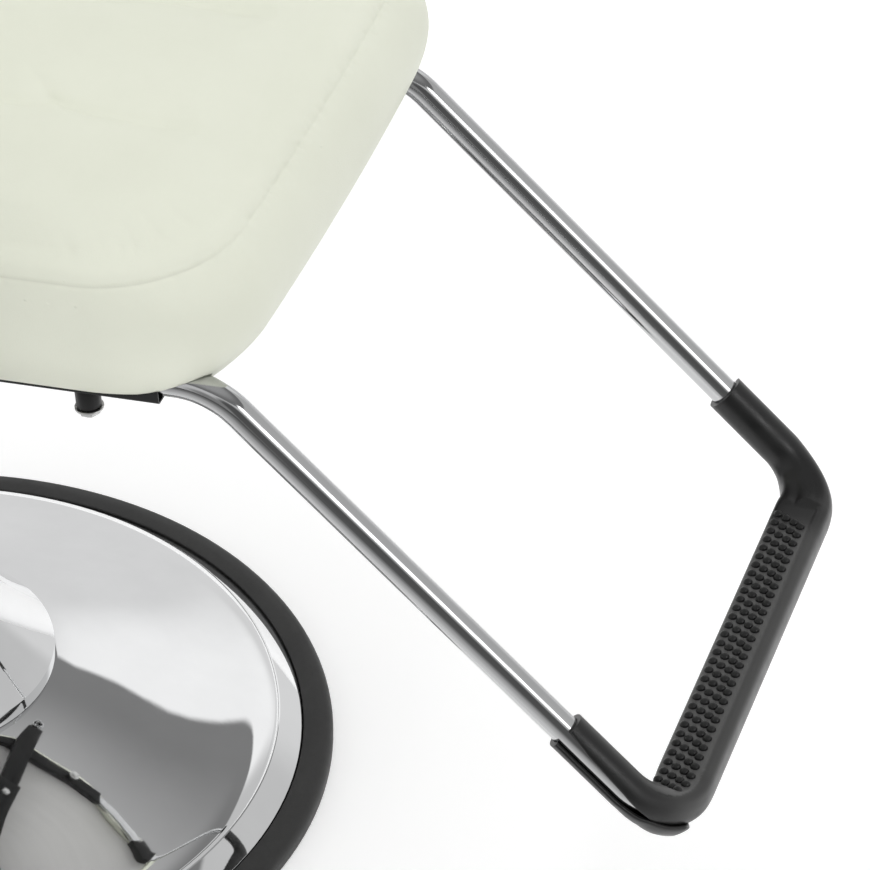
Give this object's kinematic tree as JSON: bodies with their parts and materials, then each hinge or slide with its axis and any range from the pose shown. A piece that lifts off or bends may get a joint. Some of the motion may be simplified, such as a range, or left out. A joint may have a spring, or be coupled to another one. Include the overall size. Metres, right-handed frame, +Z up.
{
  "type": "hairdressing chair",
  "caption": "Hydraulic salon chair on a round domed base: boxed cream seat, padded back, tubular arms, and a U-shaped tubular footrest with a rubber tread.",
  "frame": {"origin": "on the floor at the axis of the round base", "axes": "+Z up along the column; -Y is the way the sitter faces; +X is the sitter's left"},
  "size_m": [0.6927, 0.9695, 1.0034],
  "materials": {
    "chrome": "polished",
    "steel": "machined",
    "bolt": "zinc plated",
    "iron": "as cast",
    "bronze": "machined",
    "black": "satin",
    "rubber": "moulded",
    "pad": "moulded",
    "vinyl": "fine grain",
    "plywood": "bare"
  },
  "bodies": {
    "base": {"base_plate": "steel", "base_rim_ring": "rubber", "base_dome": "chrome", "bell_cover": "chrome", "pump_cylinder": "chrome", "cylinder_gland": "chrome", "guide_bush": "bronze", "wiper_seal": "rubber", "flange_bolt_1": "bolt", "flange_bolt_2": "bolt", "flange_bolt_3": "bolt", "flange_bolt_4": "bolt", "pump_block": "iron", "pedal_pivot_pin": "bolt", "plunger_spring": "steel"},
    "ram": {"lift_ram": "chrome", "piston_head": "steel", "piston_seal": "rubber", "thrust_washer": "bronze"},
    "seat": {"footrest_tube": "chrome", "arm_frame_left": "chrome", "arm_frame_right": "chrome", "mount_bolt_1": "bolt", "mount_bolt_2": "bolt", "mount_bolt_3": "bolt", "mount_bolt_4": "bolt", "footrest_washer_left": "bolt", "footrest_washer_right": "bolt", "footrest_bolt_left": "bolt", "footrest_bolt_right": "bolt", "back_bolt_1": "bolt", "back_bolt_2": "bolt", "back_bolt_3": "bolt", "back_bolt_4": "bolt", "arm_bolt_1": "bolt", "arm_bolt_2": "bolt", "arm_bolt_3": "bolt", "arm_bolt_4": "bolt", "swivel_hub": "black", "seat_mount_plate": "black", "cross_rail_front": "black", "cross_rail_rear": "black", "footrest_socket_left": "black", "footrest_socket_right": "black", "footrest_spacer_left": "black", "footrest_spacer_right": "black", "back_bracket_left": "black", "back_bracket_right": "black", "footrest_cover": "rubber", "arm_pad_left": "pad", "arm_pad_right": "pad", "seat_cushion": "vinyl", "back_cushion": "vinyl", "seat_board": "plywood", "back_board": "plywood"},
    "pedal": {"pedal_lever": "chrome", "pedal_pad": "rubber"},
    "plunger": {"pump_plunger": "steel"}
  },
  "joints": [
    {"name": "lift", "type": "slide", "parent": "base", "child": "ram", "axis": [0, 0, 1], "range_m": [-0.125, 0.02]},
    {"name": "swivel", "type": "hinge", "parent": "ram", "child": "seat", "pos_m": [0, 0, 0.4336], "axis": [0, 0, 1], "continuous": true},
    {"name": "pump_pedal", "type": "hinge", "parent": "base", "child": "pedal", "pos_m": [-0.05318, 0.00938, 0.116], "axis": [-0.1736, -0.9848, 0], "range_deg": [0, 7], "stiffness_Nm_per_rad": 8, "springref_deg": -22.92},
    {"name": "pump_plunger_slide", "type": "slide", "parent": "base", "child": "plunger", "axis": [0, 0, -1], "range_m": [0, 0.004], "deforming": ["plunger_spring"]}
  ],
  "couplings": [
    {"joint": "pump_plunger_slide", "follows": "pump_pedal", "m_per_rad": 0.0319}
  ]
}
